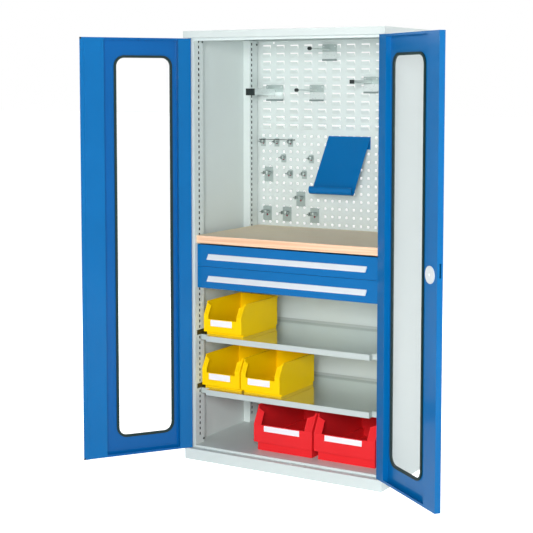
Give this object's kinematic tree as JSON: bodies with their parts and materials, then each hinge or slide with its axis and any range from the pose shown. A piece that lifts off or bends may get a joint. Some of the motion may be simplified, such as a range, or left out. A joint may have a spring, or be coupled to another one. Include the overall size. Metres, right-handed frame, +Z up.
{
  "type": "workshop tool cabinet",
  "caption": "Tall sheet-steel tool cabinet with window doors, perforated and louvred tool panels, worktop, drawers, shelves and storage bins.",
  "frame": {"origin": "centre of the plinth's footprint on the floor, which is the centre of its corner fixing holes", "axes": "+Z up, the doors and drawers face -Y, +X to the right of someone facing the front"},
  "size_m": [1.6587, 1.0101, 1.95],
  "materials": {
    "grey_paint": "smooth light grey powder coat",
    "blue_paint": "smooth mid blue powder coat",
    "galvanised": "bright zinc-plated sheet",
    "olive_zinc": "olive passivated zinc",
    "plated_steel": "bright zinc plate",
    "dark_plastic": "moulded",
    "rubber_profile": "matt extruded rubber",
    "clear_pane": "clear acrylic sheet",
    "white_plastic": "moulded",
    "grip_aluminium": "white coated extrusion",
    "beech": "oiled multiplex beech",
    "yellow_plastic": "moulded",
    "red_plastic": "moulded"
  },
  "bodies": {
    "cabinet": {"side_left": "grey_paint", "side_right": "grey_paint", "roof_cap": "grey_paint", "header_rail": "grey_paint", "plinth": "grey_paint", "floor_tray": "grey_paint", "back_lower": "grey_paint", "pegboard_panel": "grey_paint", "louvre_panel": "grey_paint", "post_front_left": "grey_paint", "post_front_right": "grey_paint", "post_rear_left": "grey_paint", "post_rear_right": "grey_paint", "worktop": "beech", "drawer_carriers": "grey_paint", "drawer_outer_rails": "galvanised", "shelf_upper": "galvanised", "shelf_lower": "galvanised", "shelf_rails": "olive_zinc", "hinge_bushes": "plated_steel", "body_bolts": "plated_steel", "document_holder": "blue_paint", "rod_hooks": "plated_steel", "bar_hook": "plated_steel", "broad_hook": "plated_steel", "hook_tips": "dark_plastic", "tool_clips": "plated_steel", "clip_rail": "plated_steel"},
    "door_left": {"door_left_leaf": "blue_paint", "door_left_stile": "blue_paint", "door_left_channel": "blue_paint", "door_left_gasket": "rubber_profile", "door_left_window": "clear_pane", "door_left_pins": "plated_steel", "door_left_lap_strip": "blue_paint", "door_left_buffers": "rubber_profile"},
    "door_right": {"door_right_leaf": "blue_paint", "door_right_stile": "blue_paint", "door_right_channel": "blue_paint", "door_right_gasket": "rubber_profile", "door_right_window": "clear_pane", "door_right_pins": "plated_steel", "lock_rose": "white_plastic"},
    "lock": {"lock_knob": "dark_plastic", "lock_cam": "plated_steel"},
    "rod_upper": {"lock_rod_upper": "plated_steel"},
    "rod_lower": {"lock_rod_lower": "plated_steel"},
    "drawer_upper": {"drawer_upper_box": "grey_paint", "drawer_upper_front": "blue_paint", "drawer_upper_grip": "grip_aluminium"},
    "drawer_upper_slide": {"drawer_upper_slides": "galvanised"},
    "drawer_lower": {"drawer_lower_box": "grey_paint", "drawer_lower_front": "blue_paint", "drawer_lower_grip": "grip_aluminium"},
    "drawer_lower_slide": {"drawer_lower_slides": "galvanised"},
    "yellow_bin_top": {"bin_yellow_top": "yellow_plastic"},
    "yellow_bin_left": {"bin_yellow_left": "yellow_plastic"},
    "yellow_bin_right": {"bin_yellow_right": "yellow_plastic"},
    "red_bin_left": {"bin_red_left": "red_plastic"},
    "red_bin_right": {"bin_red_right": "red_plastic"}
  },
  "joints": [
    {"name": "door_left_hinge", "type": "hinge", "parent": "cabinet", "child": "door_left", "pos_m": [-0.487, -0.287, 1], "axis": [0, 0, -1], "range_deg": [-125, 20]},
    {"name": "door_right_hinge", "type": "hinge", "parent": "cabinet", "child": "door_right", "pos_m": [0.487, -0.287, 1], "axis": [0, 0, 1], "range_deg": [-143, 2]},
    {"name": "lock_turn", "type": "hinge", "parent": "door_right", "child": "lock", "pos_m": [0.83241, -0.54729, 0.98], "axis": [0.6018, 0.7986, 0], "range_deg": [0, 90]},
    {"name": "lock_rod_upper_slide", "type": "slide", "parent": "door_right", "child": "rod_upper", "axis": [0, 0, 1], "range_m": [0, 0.017]},
    {"name": "lock_rod_lower_slide", "type": "slide", "parent": "door_right", "child": "rod_lower", "axis": [0, 0, -1], "range_m": [0, 0.017]},
    {"name": "drawer_upper_travel", "type": "slide", "parent": "cabinet", "child": "drawer_upper", "axis": [0, -1, 0], "range_m": [0, 0.44]},
    {"name": "drawer_upper_slide_travel", "type": "slide", "parent": "cabinet", "child": "drawer_upper_slide", "axis": [0, -1, 0], "range_m": [0, 0.22]},
    {"name": "drawer_lower_travel", "type": "slide", "parent": "cabinet", "child": "drawer_lower", "axis": [0, -1, 0], "range_m": [0, 0.44]},
    {"name": "drawer_lower_slide_travel", "type": "slide", "parent": "cabinet", "child": "drawer_lower_slide", "axis": [0, -1, 0], "range_m": [0, 0.22]},
    {"name": "yellow_bin_top_pull", "type": "slide", "parent": "cabinet", "child": "yellow_bin_top", "axis": [0, -1, 0], "range_m": [0, 0.3]},
    {"name": "yellow_bin_left_pull", "type": "slide", "parent": "cabinet", "child": "yellow_bin_left", "axis": [0, -1, 0], "range_m": [0, 0.3]},
    {"name": "yellow_bin_right_pull", "type": "slide", "parent": "cabinet", "child": "yellow_bin_right", "axis": [0, -1, 0], "range_m": [0, 0.3]},
    {"name": "red_bin_left_pull", "type": "slide", "parent": "cabinet", "child": "red_bin_left", "axis": [0, -1, 0], "range_m": [0, 0.4]},
    {"name": "red_bin_right_pull", "type": "slide", "parent": "cabinet", "child": "red_bin_right", "axis": [0, -1, 0], "range_m": [0, 0.4]}
  ],
  "couplings": [
    {"joint": "lock_rod_upper_slide", "follows": "lock_turn", "m_per_rad": 0.0108},
    {"joint": "lock_rod_lower_slide", "follows": "lock_turn", "m_per_rad": 0.0108},
    {"joint": "drawer_upper_slide_travel", "follows": "drawer_upper_travel", "ratio": 0.5},
    {"joint": "drawer_lower_slide_travel", "follows": "drawer_lower_travel", "ratio": 0.5}
  ]
}
